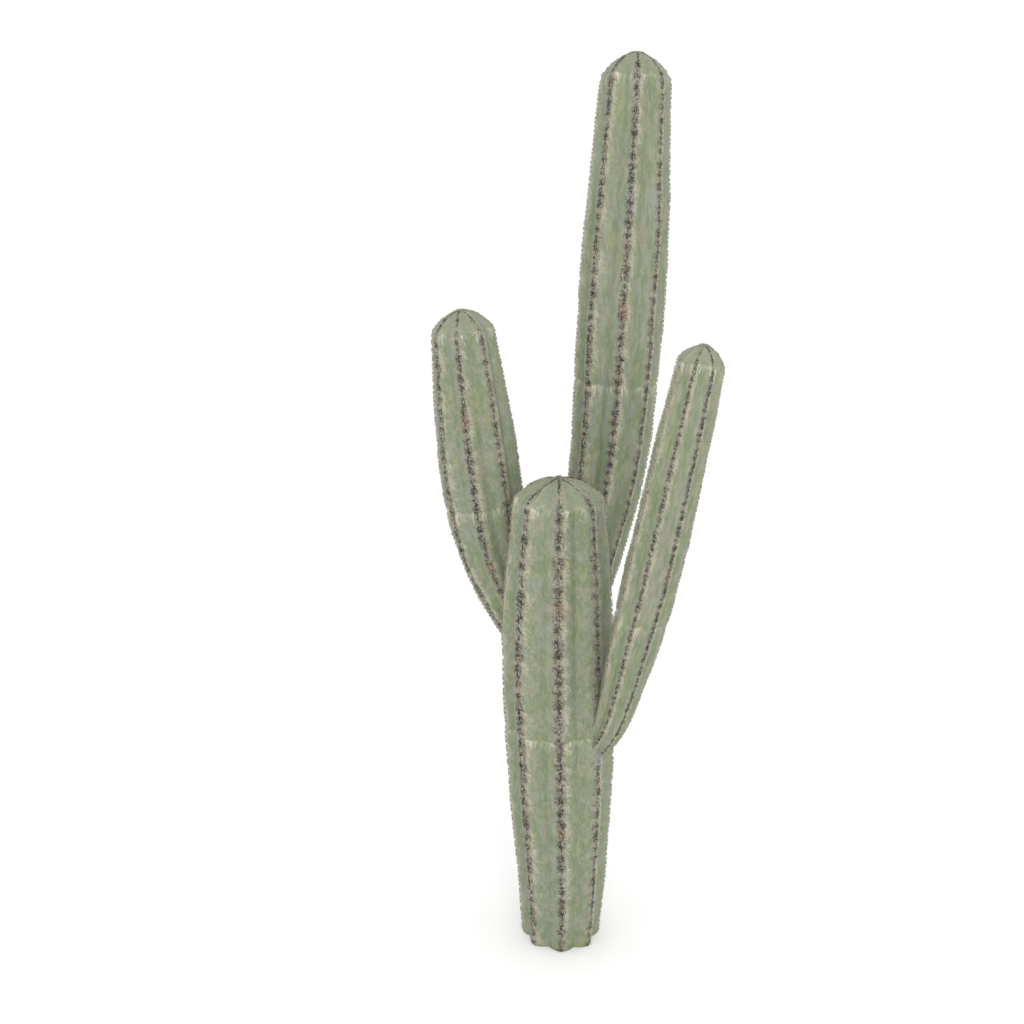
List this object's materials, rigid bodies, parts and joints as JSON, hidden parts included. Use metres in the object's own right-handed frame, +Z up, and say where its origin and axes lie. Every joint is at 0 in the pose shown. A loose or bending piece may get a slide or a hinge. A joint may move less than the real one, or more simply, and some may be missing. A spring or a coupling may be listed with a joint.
{
  "type": "columnar cactus",
  "caption": "Tree-sized columnar cactus: a stout ribbed trunk with upright side arms, rounded crowns and a dark row of spines along each rib, fixed in the ground.",
  "frame": {"origin": "middle of the flat cut under the trunk, at ground level", "axes": "+Z up along the trunk; -Y is the front, from which the picture is taken, and +X is to its right"},
  "size_m": [1.2217, 1.3397, 4.035],
  "materials": {
    "skin": "waxy, matt",
    "spines": "dry, matt"
  },
  "bodies": {
    "root": {"trunk": "skin", "left_arm_elbow": "skin", "left_arm_column": "skin", "tall_arm_elbow": "skin", "tall_arm_column": "skin", "right_arm_elbow": "skin", "right_arm_column": "skin", "trunk_spines_01": "spines", "trunk_spines_02": "spines", "trunk_spines_03": "spines", "trunk_spines_04": "spines", "trunk_spines_05": "spines", "trunk_spines_06": "spines", "trunk_spines_07": "spines", "trunk_spines_08": "spines", "trunk_spines_09": "spines", "trunk_spines_10": "spines", "trunk_spines_11": "spines", "trunk_spines_12": "spines", "left_arm_spines_01": "spines", "left_arm_spines_02": "spines", "left_arm_spines_03": "spines", "left_arm_spines_04": "spines", "left_arm_spines_05": "spines", "left_arm_spines_06": "spines", "left_arm_spines_07": "spines", "left_arm_spines_08": "spines", "tall_arm_spines_01": "spines", "tall_arm_spines_02": "spines", "tall_arm_spines_03": "spines", "tall_arm_spines_04": "spines", "tall_arm_spines_05": "spines", "tall_arm_spines_06": "spines", "tall_arm_spines_07": "spines", "tall_arm_spines_08": "spines", "right_arm_spines_01": "spines", "right_arm_spines_02": "spines", "right_arm_spines_03": "spines", "right_arm_spines_04": "spines", "right_arm_spines_05": "spines", "right_arm_spines_06": "spines", "right_arm_spines_07": "spines", "right_arm_spines_08": "spines"}
  },
  "joints": []
}
